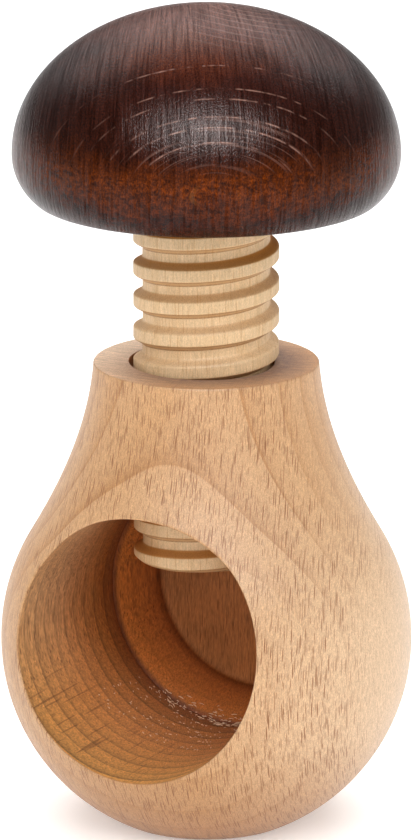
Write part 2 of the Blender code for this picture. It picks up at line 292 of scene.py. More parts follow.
def body_parts(s):
    """The body as loops: base, belly, front patch round the mouth, chamber, neck, top and tapped hole.

    The outside is a grid of angle by height with a rectangular window at the front. A patch joins the
    window's edge to the mouth, at the points that lie in the same direction from the bore's axis. The chamber's
    wall is a grid of angle by depth with a window in its ceiling, joined to the neck's hole in the same way.
    """
    angles = full_turn(LOOP)
    window_low = s.chamber_floor - 3.2 * MM
    window_high = s.chamber_height + s.chamber_radius + 3.6 * MM
    round_off = 0.35 * MM
    low_edge = 0.25 * MM
    corner = 1.1 * MM
    hole_reach = s.tap_radius + 2.85 * MM
    thread_start = 2.5 * MM
    start_angle = math.asin((s.belly_height - low_edge) / s.belly_radius)
    stop_angle = math.asin((s.belly_height - window_low) / s.belly_radius)
    below = s.belly_height - s.belly_radius * np.sin(np.linspace(start_angle, stop_angle, 18))
    beside = np.linspace(window_low, window_high, FRONT_ROWS + 1)
    above = np.linspace(window_high, s.body_height - round_off, 22)

    def outside(heights):
        return ring(body_radius(heights, s)[:, None], angles, heights[:, None])

    foot = ring(s.base_radius - 0.7 * MM, angles, 0.0)
    foot_corner = ring(s.base_radius - 0.1 * MM, angles, 0.0)
    base = between(ring(0.0, angles, 0.0), foot, 10)
    foot_edge = bezier(foot, foot_corner, outside(below[:1])[0], 4)
    lower = np.concatenate([base, foot_edge[1:], outside(below)[1:]])

    first = (LOOP - FRONT_COLUMNS) // 2
    last = first + FRONT_COLUMNS
    middle = outside(beside)
    round_back = np.concatenate([middle[:, last:], middle[:, : first + 1]], axis=1)

    def about_bore(angle, z):
        return np.arctan2(z - s.chamber_height, body_radius(z, s) * np.sin(angle))

    border, direction = window_edge(angles, beside, first, last, about_bore)

    def mouth(radius):
        x, z = radius * np.cos(direction), s.chamber_height + radius * np.sin(direction)
        return np.stack([np.arcsin(x / body_radius(z, s)), z], axis=-1)

    def on_body(place):
        return ring(body_radius(place[..., 1], s), place[..., 0], place[..., 1])

    patch = on_body(between(border, mouth(s.chamber_radius + s.lip), 20, 0.8))
    sharp = on_body(mouth(s.chamber_radius))
    inner = sharp + np.array([0.0, s.lip, 0.0])
    lip = bezier(patch[-1], sharp, inner, 6)

    def bore(turn, y):
        radius, turn, y = np.broadcast_arrays(bore_radius(y, s), turn, y)
        return np.stack([radius * np.cos(turn), y, s.chamber_height + radius * np.sin(turn)], axis=-1)

    share = np.linspace(0.0, 1.0, 24)[:, None]
    turn = direction + (angles - direction) * ease(share)
    front = bore(turn, inner[:, 1] + (-hole_reach - inner[:, 1]) * share)
    depths = np.linspace(-hole_reach, hole_reach, CEILING_ROWS + 1)
    top = LOOP * 3 // 4
    left, right = top - CEILING_COLUMNS // 2, top + CEILING_COLUMNS // 2
    wall = bore(angles, depths[:, None])
    wall_open = np.concatenate([wall[:, right:], wall[:, : left + 1]], axis=1)
    to_corner = bore(angles, np.linspace(hole_reach, s.chamber_back - corner, 6)[:, None])
    back_radius = bore_radius(s.chamber_back, s)

    def disc(radius):
        x, z = radius * np.cos(angles), s.chamber_height + radius * np.sin(angles)
        return np.stack([x, np.full(LOOP, s.chamber_back), z], axis=-1)

    back_corner = bezier(to_corner[-1], disc(back_radius), disc(back_radius - corner), 5)
    back = between(disc(back_radius - corner), disc(0.0), 16)

    def about_axis(turn, y):
        return np.arctan2(bore_radius(y, s) * np.cos(turn), -y)

    ceiling, around = window_edge(angles, depths, left, right, about_axis)
    exit_x, exit_y = s.tap_radius * np.sin(around), -s.tap_radius * np.cos(around)
    exit_turn = np.arccos(exit_x / bore_radius(exit_y, s))
    ceiling_places = between(ceiling, np.stack([exit_turn, exit_y], axis=-1), 8)
    ceiling_patch = bore(ceiling_places[..., 0], ceiling_places[..., 1])
    exit_height = ceiling_patch[-1, :, 2]

    up = np.linspace(0.0, 1.0, 110)[:, None]
    hole_angle = around + (angles - around) * ease(up)
    hole_height = exit_height + (s.body_height - exit_height) * up
    half_crest = s.crest_width / 2 + s.tap_axial_clearance
    tapped = thread_radius(hole_angle, hole_height, s.tap_radius, half_crest, s)
    relief = ease((hole_height - exit_height) / thread_start)
    hole = ring(s.tap_radius + (tapped - s.tap_radius) * relief, hole_angle, hole_height)

    side = outside(above)
    rim_corner = ring(s.neck_radius, angles, s.body_height)
    rim_inner = ring(s.neck_radius - round_off, angles, s.body_height)
    rim = bezier(side[-1], rim_corner, rim_inner, 4)
    upper = np.concatenate([side, rim[1:], between(rim_inner, hole[-1], 12)[1:]])
    return [
        (lower, True, 0),
        (round_back, False, 0),
        (upper, True, 0),
        (np.concatenate([patch, lip[1:]]), True, 0),
        (front, True, 1),
        (wall_open, False, 1),
        (np.concatenate([to_corner, back_corner[1:], back[1:]]), True, 1),
        (ceiling_patch, True, 1),
        (hole, True, 1),
    ]


def spindle_parts(s):
    """The screw as loops from its flat end up its thread to its top, then down into the dowel's hole.

    The thread's radius wanders by a product of two slow sines, as hand-held cutting leaves it.
    """
    angles = full_turn(160)
    wobble = 0.035 * MM
    chamfer = 0.6 * MM
    heights = np.linspace(s.screw_end, s.screw_top, 440)[:, None]
    wander = wobble * np.sin(3 * angles + heights / (4.1 * MM)) * np.sin(heights / (7.3 * MM))
    radius = thread_radius(angles, heights, s.crest_radius, s.crest_width / 2, s)
    limit = s.crest_radius - chamfer + (heights - s.screw_end)
    side = ring(np.minimum(radius + wander - wobble, limit), angles, heights)
    mouth = ring(s.dowel_hole_radius, angles, s.screw_top)
    bottom = ring(s.dowel_hole_radius, angles, s.dowel_hole_low)
    end_face = between(ring(0.0, angles, s.screw_end), side[0], 14)
    top_face = between(side[-1], mouth, 8)
    hole = between(mouth, bottom, 6)
    hole_bottom = between(bottom, ring(0.0, angles, s.dowel_hole_low), 4)
    loops = np.concatenate([end_face, side[1:], top_face[1:], hole[1:], hole_bottom[1:]])
    return [(loops, True, 0)]


def cap_parts(s):
    """The cap as loops: the dowel's hole, the underside, the rim arc and the half-ellipse dome.

    A small Bezier corner joins the flat underside to the arc, which it meets after 7% of the arc.
    """
    angles = full_turn(LOOP)
    corner_width = 0.9 * MM
    arc_centre = s.cap_radius - s.cap_rim_arc
    turn_in = math.asin((s.cap_widest - s.cap_underside) / s.cap_rim_arc)
    rim_angle = np.linspace(-turn_in * 0.93, 0.0, 30)[:, None]
    rim_height = s.cap_widest + s.cap_rim_arc * np.sin(rim_angle)
    rim = ring(arc_centre + s.cap_rim_arc * np.cos(rim_angle), angles, rim_height)
    dome_angle = np.linspace(0.0, math.pi / 2, 90)[1:, None]
    dome_height = s.cap_widest + s.cap_dome_height * np.sin(dome_angle)
    dome = ring(s.cap_radius * np.cos(dome_angle), angles, dome_height)
    corner_radius = arc_centre + s.cap_rim_arc * math.cos(turn_in)
    flat_edge = ring(corner_radius - corner_width, angles, s.cap_underside)
    corner = bezier(flat_edge, ring(corner_radius, angles, s.cap_underside), rim[0], 6)
    mouth = ring(s.dowel_hole_radius, angles, s.cap_underside)
    bottom = ring(s.dowel_hole_radius, angles, s.dowel_hole_high)
    hole_bottom = between(ring(0.0, angles, s.dowel_hole_high), bottom, 4)
    hole = between(bottom, mouth, 6)
    underside = between(mouth, flat_edge, 16)
    loops = np.concatenate([hole_bottom, hole[1:], underside[1:], corner[1:], rim[1:], dome])
    return [(loops, True, 0)]


def torn_fibres(s):
    """Splinters that the boring bit left: thin closed spindles that lie on the chamber's wall.

    Nearly half of them lie along the ledge, where the cut stops, and the rest on the lower wall. Each has a
    seeded place, heading, length and lift; its radius swells to the middle as a half sine, and its line arches.
    """
    count, rings_each, sides = 240, 6, 5
    on_ledge = np.arange(count) < count * 0.45
    rng = np.random.default_rng(7)
    on_ledge_turn = -74 - 52 * rng.uniform(0, 1, count) ** 1.6
    turn = np.radians(np.where(on_ledge, on_ledge_turn, rng.uniform(-140, -70, count)))
    on_ledge_y = s.straight_end + rng.normal(0.3, 1.5, count) * MM
    y = np.where(on_ledge, on_ledge_y, s.straight_end - rng.uniform(0.5, 17, count) * MM)
    long = np.where(on_ledge, rng.uniform(0.5, 1.4, count), rng.uniform(0.3, 0.8, count)) * MM
    thick = np.where(on_ledge, rng.uniform(0.08, 0.15, count), rng.uniform(0.06, 0.11, count)) * MM
    heading = rng.uniform(-0.9, 0.9, count) + np.where(on_ledge, 0.0, rng.uniform(-1.5, 1.5, count))
    lift = rng.uniform(0.02, 0.15, count) * MM
    sunk = 0.02 * MM

    radial = np.stack([np.cos(turn), np.zeros(count), np.sin(turn)], axis=-1)
    around = np.stack([-np.sin(turn), np.zeros(count), np.cos(turn)], axis=-1)
    inward = np.array([0.0, 1.0, 0.0])
    along = np.cos(heading)[:, None] * around + np.sin(heading)[:, None] * inward
    sideways = -np.sin(heading)[:, None] * around + np.cos(heading)[:, None] * inward
    start = (bore_radius(y, s) - sunk)[:, None] * radial + y[:, None] * inward
    start = start + np.array([0.0, 0.0, s.chamber_height])
    t = np.linspace(0.0, 1.0, rings_each)
    off = (t - 0.5) * long[:, None]
    sag = s.chamber_radius - np.sqrt(s.chamber_radius**2 - off**2)
    arch = (lift * 0.8)[:, None] * np.sin(math.pi * t) ** 2 + sag
    line = start[:, None] + off[..., None] * along[:, None] - arch[..., None] * radial[:, None]
    swell = thick[:, None] * np.sin(math.pi * t)
    a = np.linspace(0.0, math.tau, sides, endpoint=False)[:, None]
    section = np.cos(a) * sideways[:, None, None] + 0.6 * np.sin(a) * radial[:, None, None]
    points = line[:, :, None] + swell[:, :, None, None] * section
    return [(splinter, True, 0) for splinter in points]


# ---------------------------------------------------------------- woods


def rgba(value):
    """A colour as four channels, from a property or from an sRGB hex."""
    return (*(linear(value) if isinstance(value, str) else value), 1.0)


def connect(target, inputs):
    """Give a node's inputs, in its own order or in a dict by number or name, each a value or a socket."""
    for key, value in (inputs if isinstance(inputs, dict) else dict(enumerate(inputs))).items():
        if isinstance(value, bpy.types.NodeSocket):
            target.id_data.links.new(value, target.inputs[key])
        else:
            target.inputs[key].default_value = value


def node(tree, kind, inputs=(), operation=None, stops=(), **settings):
    """Add a shader node and return its first output. The settings are its attributes.

    The inputs are for connect(). So a MapRange takes its value, the range that this comes from and the range
    that it goes to, which is 0 to 1 if left out. A ramp's stops are pairs of a position and a grey or a colour.
    """
    made = tree.nodes.new("ShaderNode" + kind)
    for index, (position, tone) in enumerate(stops):
        elements = made.color_ramp.elements
        stop = elements[index] if index < 2 else elements.new(position)
        stop.position = position
        stop.color = (tone, tone, tone, 1.0) if isinstance(tone, float) else rgba(tone)
    if operation:
        made.operation = operation
    for key, value in settings.items():
        setattr(made, key, value)
    connect(made, inputs)
    return next((output for output in made.outputs if output.enabled), None)


def new_material(name):
    """An empty material, node() for its tree, and its Principled shader."""
    material = bpy.data.materials.new(name)
    material.use_nodes = True
    tree = material.node_tree
    return material, functools.partial(node, tree), tree.nodes["Principled BSDF"]


def finish_wood(add, shader, base, roughness, relief, strength, distance):
    """Give the shader its colour, its roughness and a relief, which is raised by a distance in metres."""
    bump = add("Bump", {"Height": relief, "Strength": strength, "Distance": distance})
    connect(shader, {"Base Color": base, "Roughness": roughness, "Normal": bump})


def object_place(add):
    """Where a point lies on the object, in metres: the vector, and its x, y and z."""
    place = add("TexCoord").node.outputs["Object"]
    return place, *add("SeparateXYZ", (place,)).node.outputs


# How far in front of a piece's axis, in millimetres, the distance across the rings is measured.
FRONT_DEPTH = 30.0


def growth(add, turn, pith, wander):
    """Where a point lies in the tree the piece was cut from, in millimetres.

    Growth rings are upright cylinders about the pith, which lies behind the piece; turn is the direction, round
    from -Y towards +X, in which they grew. Returns three sockets: across (along a ring, measured near the
    front), depth (outward from the piece's axis) and along (up the grain). Slow noise makes the rings wander.
    """
    place = add("TexCoord").node.outputs["Object"]
    millimetres = add("VectorMath", {0: place, 3: 1 / MM}, "SCALE")
    turned = add("Mapping", {"Vector": millimetres, "Rotation": (0.0, 0.0, -turn)})
    noise = add("TexNoise", {"Vector": turned, "Scale": 0.035, "Detail": 1.0}).node.outputs["Color"]
    noise = add("VectorMath", (noise, (0.5, 0.5, 0.5)), "SUBTRACT")
    noise = add("VectorMath", (noise, wander), "MULTIPLY")
    bent = add("VectorMath", (turned, noise), "ADD")
    x, y, z = add("SeparateXYZ", (bent,)).node.outputs
    outward = add("Math", (pith, y), "SUBTRACT")
    square = add("Math", (x, x), "MULTIPLY")
    square = add("Math", (outward, outward, square), "MULTIPLY_ADD")
    radius = add("Math", (square,), "SQRT")
    depth = add("Math", (radius, pith), "SUBTRACT")
    slope = add("Math", (x, outward), "DIVIDE")
    across = add("Math", (slope, pith + FRONT_DEPTH), "MULTIPLY")
    return across, depth, z


def drawn_out(add, place, cell):
    """The place in the tree in units of a cell, given by its sides across, outward and along in millimetres.

    It is turned after it is scaled, so that a texture's lattice doesn't line up with the wood.
    """
    vector = add("CombineXYZ", place)
    scaled = add("VectorMath", (vector, tuple(1 / c for c in cell)), "MULTIPLY")
    return add("Mapping", {"Vector": scaled, "Rotation": (0.6, 0.4, 0.9)})


def flecks(add, place, cell, reach, edge):
    """Short strokes where rays are cut: lens shapes about the seeds of a stretched Voronoi pattern.

    The cell is their spacing; reach is a stroke's half-size in cells, and edge is how soft it is. Each stroke
    has its own strength.
    """
    seeds = add("TexVoronoi", {"Vector": drawn_out(add, place, cell), "Scale": 1.0}).node.outputs
    shape = add("MapRange", (seeds["Distance"], reach, reach - edge), interpolation_type="SMOOTHSTEP")
    chance = add("SeparateColor", (seeds["Color"],))
    strength = add("MapRange", (chance, 0.0, 1.0, 0.25, 1.0))
    return add("Math", (shape, strength), "MULTIPLY")


def fibres(add, place, cell, detail=2.0, spread=None):
    """Noise drawn out along the grain. The cell is the size of its features.

    The spread, if given, is the range of the noise that counts and the range that it is spread over.
    """
    vector = drawn_out(add, place, cell)
    noise = add("TexNoise", {"Vector": vector, "Scale": 1.0, "Detail": detail, "Roughness": 0.6})
    return add("MapRange", (noise, *spread)) if spread else noise


def rings(add, depth, width, edge, faintest, stops):
    """How dark the growth rings are: a ramp from one ring boundary to the next, repeated outward.

    The width and the depth of one edge are in millimetres. Each year has a strength of its own, between the
    faintest and 1.
    """
    steps = add("Math", (depth, edge), "SUBTRACT")
    steps = add("Math", (steps, width), "DIVIDE")
    phase = add("Math", (steps,), "FRACT")
    year = add("Math", (steps,), "FLOOR")
    strength = add("TexWhiteNoise", {"W": year}, noise_dimensions="1D")
    strength = add("MapRange", (strength, 0.0, 1.0, faintest, 1.0))
    tone = add("ValToRGB", (phase,), stops=stops)
    return add("Math", (tone, strength), "MULTIPLY")


def facing(add, turn):
    """How squarely a surface faces along the rings, 0 to 1: there the rays lie in the surface."""
    normal = add("NewGeometry").node.outputs["Normal"]
    side = (math.cos(turn), math.sin(turn), 0.0)
    dot = add("VectorMath", (normal, side), "DOT_PRODUCT")
    return add("Math", (dot,), "ABSOLUTE")


def upward(add):
    """The upward part of the surface's normal, -1 to 1: the grain's ends show where it is far from 0."""
    normal = add("NewGeometry").node.outputs["Normal"]
    return add("SeparateXYZ", (normal,)).node.outputs[2]


# Each piece's place in its tree: the direction its rings grew in, its distance from the pith in millimetres,
# and how far the rings wander across, outward and along.
BODY_TURN = math.radians(9.5)
BODY_PITH = 95.0
BODY_WANDER = (1.0, 2.6, 0.0)
SCREW_TURN = math.radians(26.0)
SCREW_PITH = 60.0
SCREW_WANDER = (0.6, 1.5, 0.0)
CAP_TURN = math.radians(30.0)
CAP_PITH = 93.0
CAP_WANDER = (0.6, 0.8, 0.0)

# The neck's top is painted paler away from this side and darker towards it: painted sheen and painted shade,
# and beside the hole painted contact shadow with wear.
SHADE_AND_WEAR_SIDE = (0.948, -0.317, 0.0)

# Depths in front of the cap's axis, in millimetres, of the growth lines whose large pores show as light dashes.
PORE_LINES = (20.5, 24.5, 26.0, 28.2, 29.3, 30.6)

# Just outside the largest depth on the cap, in millimetres. Lines are drawn by the square root of the distance
# to it, since the dome turns away from the rings there.
OUTERMOST = 33.0

# Where the upright axis stands about which the rings on the cap's top are curved.
CROWN_CENTRE = (4.9 * MM, 6.9 * MM, 0.0)


def sanded_beech(colours):
    """Sanded, untreated European beech: pinkish tan, matt, with short ray flecks and soft growth lines."""
    material, add, shader = new_material("sanded_beech")
    place = across, depth, along = growth(add, BODY_TURN, BODY_PITH, BODY_WANDER)

    # The growth lines. They are at their strongest in the years about one depth.
    year = ((0.0, 1.0), (0.022, 0.0), (0.45, 0.08), (0.8, 0.42), (1.0, 1.0))
    late = rings(add, depth, 4.6, 21.4, 0.8, year)
    dry_year = add("Math", (depth, 19.0, 2.4), "COMPARE")
    contrast = add("MapRange", (dry_year, 0.0, 1.0, 0.6, 1.0))
    late = add("Math", (late, contrast), "MULTIPLY")
    woods = {6: rgba(colours.beech_light), 7: rgba(colours.beech_dark)}
    base = add("Mix", {0: late, **woods}, data_type="RGBA")

    # Broad changes of colour: warm clouds, a pale right side of the belly that is painted light and sheen from
    # the side, and a browner foot that is partly darker growth bands and partly painted shade near the floor.
    warm = fibres(add, place, (14.0, 14.0, 30.0), 1.0, (0.35, 0.65, 0.0, 0.4))
    # Painted light: the belly is paler towards its right side, where the side light and its sheen fall.
    side = add("MapRange", (across, 8.0, 38.0, 0.0, 0.75))
    low = add("MapRange", (along, 72.0, 40.0))
    pale = add("Math", (side, low), "MULTIPLY")
    # Painted shade near the floor, over the foot's darker growth bands: the foot is browner towards the base.
    foot = add("MapRange", (along, 20.0, 3.0, 0.0, 0.65))
    for mask, stain in ((warm, "#b58552"), (pale, "#d3b594"), (foot, "#a06c3e")):
        base = add("Mix", {0: mask, 6: base, 7: rgba(stain)}, data_type="RGBA")

    # The fine grain, and the rays, which don't show where the surface faces along the rings.
    fibre = fibres(add, place, (0.2, 0.5, 0.95))
    grain = add("MapRange", (fibre, 0.3, 0.7, 0.82, 1.15))
    speck = fibres(add, place, (0.13, 0.13, 0.3), 1.0, (0.3, 0.7, 0.8, 1.2))
    tone = add("Math", (grain, speck), "MULTIPLY")
    base = add("VectorMath", {0: base, 3: tone}, "SCALE")
    flat = add("MapRange", (facing(add, BODY_TURN), 0.8, 0.97, 1.0, 0.08))
    large = flecks(add, place, (0.28, 9.0, 4.4), 0.36, 0.08)
    small = flecks(add, place, (0.26, 8.0, 2.4), 0.32, 0.10)
    small = add("Math", (small, 0.75), "MULTIPLY")
    ray = add("Math", (large, small), "MAXIMUM")
    ray = add("Math", (ray, flat), "MULTIPLY")
    base = add("Mix", {0: ray, 6: base, 7: rgba(colours.beech_ray)}, data_type="RGBA")

    # End grain on level faces: paler on the left of the neck's hole and browner on the right, which is painted
    # sheen and painted shade; beside the hole on the right, a dark brown that is painted contact shadow with
    # wear.
    ends = add("MapRange", (upward(add), 0.8, 0.99, 0.0, 0.8), interpolation_type="SMOOTHSTEP")
    position = add("TexCoord").node.outputs["Object"]
    level = add("VectorMath", (position, (1.0, 1.0, 0.0)), "MULTIPLY")
    around = add("VectorMath", (level,), "LENGTH")
    rightward = add("VectorMath", (position, SHADE_AND_WEAR_SIDE), "DOT_PRODUCT")
    # Painted sheen and painted shade: the end grain goes from pale on the left of the hole to brown on the
    # right.
    right = add("MapRange", (rightward, -18.0 * MM, 8.0 * MM))
    end_grain = add("Mix", {0: right, 6: rgba("#efd0b0"), 7: rgba("#c88f58")}, data_type="RGBA")
    line = fibres(add, place, (8.0, 0.35, 8.0), 3.0, (0.35, 0.65, 0.72, 1.16))
    for factor in (tone, line):
        end_grain = add("VectorMath", {0: end_grain, 3: factor}, "SCALE")
    # Painted contact shadow with wear: dark brown beside the hole on the right.
    shade_and_wear = add("MapRange", (around, 13.8 * MM, 18.5 * MM, 1.9, 0.0))
    for factor in (right, fibres(add, place, (1.6, 0.5, 4.0))):
        shade_and_wear = add("Math", (shade_and_wear, factor), "MULTIPLY")
    end_grain = add("Mix", {0: shade_and_wear, 6: end_grain, 7: rgba("#6a3c1c")}, data_type="RGBA")
    base = add("Mix", {0: ends, 6: base, 7: end_grain}, data_type="RGBA")

    connect(shader, {"Sheen Weight": 0.16, "Sheen Roughness": 0.4})
    relief = add("Math", (ray, -0.8, fibre), "MULTIPLY_ADD")
    finish_wood(add, shader, base, 0.55, relief, 0.4, 0.12 * MM)
    return material


def bored_beech(colours, s):
    """Beech as the boring bit left it: unsanded, darker with depth as painted shade, with growth bands, rays
    and tool lines.
    """
    material, add, shader = new_material("bored_beech")
    place = growth(add, BODY_TURN, BODY_PITH, BODY_WANDER)
    along = place[2]
    _, x, y, z = object_place(add)

    # The colour by depth into the chamber: straight bore, ledge, taper, corner and back. The straight bore
    # darkens towards the ledge, and the ledge and the back corner show dark lines: painted shade.
    by_depth = (
        (0.0, colours.bore_light),
        (0.45, "#bb783a"),
        (0.62, "#b06e34"),
        (0.74, "#8e5128"),
        (0.755, "#6e3413"),
        (0.775, colours.bore_deep),
        (0.93, "#b3652f"),
        (0.965, "#74380f"),
        (0.985, "#c8844a"),
    )
    # Painted shade: darker along the straight bore towards the ledge, and dark lines at the ledge and at the
    # back corner.
    share = add("MapRange", (y, -30.0 * MM, 21.0 * MM))
    base = add("ValToRGB", (share,), stops=by_depth)
    wall = add("MapRange", (along, 22.0, 42.0, 0.0, 0.5))
    front = add("MapRange", (y, 4.0 * MM, -12.0 * MM))
    wall = add("Math", (wall, front), "MULTIPLY")
    base = add("Mix", {0: wall, 6: base, 7: rgba("#c6a684")}, data_type="RGBA")

    # The growth bands, which fade into the taper and towards the ceiling.
    year = ((0.0, 1.0), (0.06, 0.0), (0.3, 0.05), (0.8, 0.4), (1.0, 1.0))
    late = rings(add, place[1], 3.7, 16.1, 0.45, year)
    late = add("MapRange", (late, 0.0, 1.0, 1.22, 0.38))
    inner = add("MapRange", (y, 4.0 * MM, 10.0 * MM, 0.0, 0.75))
    smooth = add("MapRange", (along, 30.0, 48.0, 0.0, 0.6))
    inner = add("Math", (inner, smooth), "MAXIMUM")
    late = add("Mix", {0: inner, 2: late, 3: 0.95})
    fibre = fibres(add, place, (0.25, 0.5, 1.0))
    tone = add("MapRange", (fibre, 0.3, 0.7, 0.78, 1.18))
    streak = fibres(add, place, (0.5, 0.6, 3.2), 2.0, (0.3, 0.6, 0.7, 1.1))
    for factor in (late, streak):
        tone = add("Math", (tone, factor), "MULTIPLY")
    base = add("VectorMath", {0: base, 3: tone}, "SCALE")

    # Cracks along the bore, low on the left near the mouth, on the wall as unrolled about the bore's axis. With
    # them, the rays on its upright parts.
    rise = add("Math", (z, s.chamber_height), "SUBTRACT")
    turn = add("Math", (x, rise), "ARCTAN2")
    around = add("Math", (turn, s.chamber_radius), "MULTIPLY")
    unrolled = add("CombineXYZ", (around, y))
    unrolled = add("VectorMath", (unrolled, (1700.0, 70.0, 0.0)), "MULTIPLY")
    crack = add("TexNoise", {"Vector": unrolled, "Scale": 1.0, "Detail": 0.0})
    crack = add("MapRange", (crack, 0.65, 0.74, 0.0, 0.7))
    low = add("MapRange", (rise, -4.0 * MM, -12.0 * MM))
    left = add("MapRange", (x, 6.0 * MM, -4.0 * MM))
    outer = add("MapRange", (y, -4.0 * MM, -12.0 * MM))
    for factor in (low, left, outer):
        crack = add("Math", (crack, factor), "MULTIPLY")
    pore = flecks(add, place, (0.5, 0.6, 4.2), 0.34, 0.14)
    level = add("Math", (upward(add),), "ABSOLUTE")
    upright = add("MapRange", (level, 0.75, 0.35))
    pore = add("Math", (pore, upright), "MULTIPLY")
    ray = add("Math", (crack, pore), "MAXIMUM")
    ray = add("Math", (ray, 0.75), "MULTIPLY")
    base = add("Mix", {0: ray, 6: base, 7: rgba("#5a2c0e")}, data_type="RGBA")
    finish_wood(add, shader, base, 0.62, fibre, 0.6, 0.25 * MM)
    return material


def pale_beech(colours, s):
    """Pale, thread-cut beech: fine straight grain, and flanks that are darker where they cut across it, with
    painted shade of the cap on the upper flanks.
    """
    material, add, shader = new_material("pale_beech")
    place = growth(add, SCREW_TURN, SCREW_PITH, SCREW_WANDER)
    _, x, y, z = object_place(add)

    # The grain: growth lines, fibres and ray flecks.
    year = ((0.0, 1.0), (0.1, 0.0), (0.5, 0.15), (1.0, 1.0))
    late = rings(add, place[1], 2.4, 0.0, 0.5, year)
    late = add("Math", (late, 0.5), "MULTIPLY")
    base = add("Mix", {0: late, 6: rgba(colours.pale_light), 7: rgba("#c7a274")}, data_type="RGBA")
    fibre = fibres(add, place, (0.3, 0.3, 2.2))
    tone = add("MapRange", (fibre, 0.3, 0.7, 0.86, 1.1))
    base = add("VectorMath", {0: base, 3: tone}, "SCALE")
    line = flecks(add, place, (0.42, 6.0, 5.5), 0.34, 0.1)
    line = add("Math", (line, 0.6), "MULTIPLY")
    base = add("Mix", {0: line, 6: base, 7: rgba("#b08450")}, data_type="RGBA")

    # The flanks, cut across the grain: the lower ones are a little darker. The upper ones darken by height up
    # the screw towards the cap, which is painted shade of the cap, and are dark low down in the body too.
    up = upward(add)
    upper = add("MapRange", (up, 0.2, 0.6), interpolation_type="SMOOTHSTEP")
    # Painted shade of the cap: the upper flanks darken by height towards it.
    level = add("MapRange", (z, 45.0 * MM, 110.0 * MM))
    by_height = ((0.0, 0.8), (0.35, 0.8), (0.6, 0.08), (0.72, 0.3), (0.8, 0.45), (0.86, 0.95), (0.92, 1.0))
    dark = add("ValToRGB", (level,), stops=by_height)
    upper = add("Math", (upper, dark), "MULTIPLY")
    lower = add("MapRange", (up, -0.3, -0.7, 0.0, 0.4), interpolation_type="SMOOTHSTEP")
    cut = add("Math", (upper, lower), "MAXIMUM")
    base = add("Mix", {0: cut, 6: base, 7: rgba(colours.cut_grain_and_shade)}, data_type="RGBA")

    # Thin dark lines along the ridge's foot and just under its lower edge, found by the phase of the thread.
    back = add("Math", (y, -1.0), "MULTIPLY")
    turn = add("Math", (x, back), "ARCTAN2")
    turn = add("Math", (turn, -1 / math.tau, 0.25), "MULTIPLY_ADD")
    start = (s.body_height + s.crest_above_neck) / s.pitch
    phase = add("Math", (z, 1 / s.pitch, turn), "MULTIPLY_ADD")
    phase = add("Math", (phase, start - 0.5), "SUBTRACT")
    phase = add("Math", (phase,), "FRACT")
    edge = 0.5 - s.crest_width / 2 / s.pitch
    foot = edge - s.flank_rise / s.pitch
    foot_line = ((foot - 0.045, 0.0), (foot - 0.015, 1.0), (foot + 0.02, 0.1))
    edge_line = ((edge - 0.04, 0.2), (edge - 0.01, 0.9), (edge + 0.02, 0.0))
    thin_lines = add("ValToRGB", (phase,), stops=((0.0, 0.0), *foot_line, *edge_line))
    uneven = add("MapRange", (fibre, 0.35, 0.6, 0.45, 1.0))
    thin_lines = add("Math", (thin_lines, uneven), "MULTIPLY")
    base = add("Mix", {0: thin_lines, 6: base, 7: rgba("#7d5222")}, data_type="RGBA")
    speck = fibres(add, place, (0.2, 0.2, 0.28), 2.0, (0.3, 0.7, 0.84, 1.14))
    base = add("VectorMath", {0: base, 3: speck}, "SCALE")
    finish_wood(add, shader, base, 0.6, fibre, 0.4, 0.15 * MM)
    return material


def torn_beech():
    """Dry, torn beech fibre: nearly white, with a faint mottle."""
    material, add, shader = new_material("torn_beech")
    place = growth(add, BODY_TURN, BODY_PITH, (0.0, 0.0, 0.0))
    mottle = fibres(add, place, (0.6, 0.6, 0.6))
    base = add("Mix", {0: mottle, 6: rgba("#c29a74"), 7: rgba("#ecd2b4")}, data_type="RGBA")
    connect(shader, {"Base Color": base, "Roughness": 0.7})
    return material


def pore_stops():
    """The stops of a ramp that is 1 on a pore line, over a quarter of the root of the way to OUTERMOST."""
    half_width = 0.0055
    spots = sorted(math.sqrt(OUTERMOST - line) / 4 for line in PORE_LINES)
    return [(0.0, 0.0), *((spot + side * half_width, 1.0 - abs(side)) for spot in spots for side in (-1, 0, 1))]


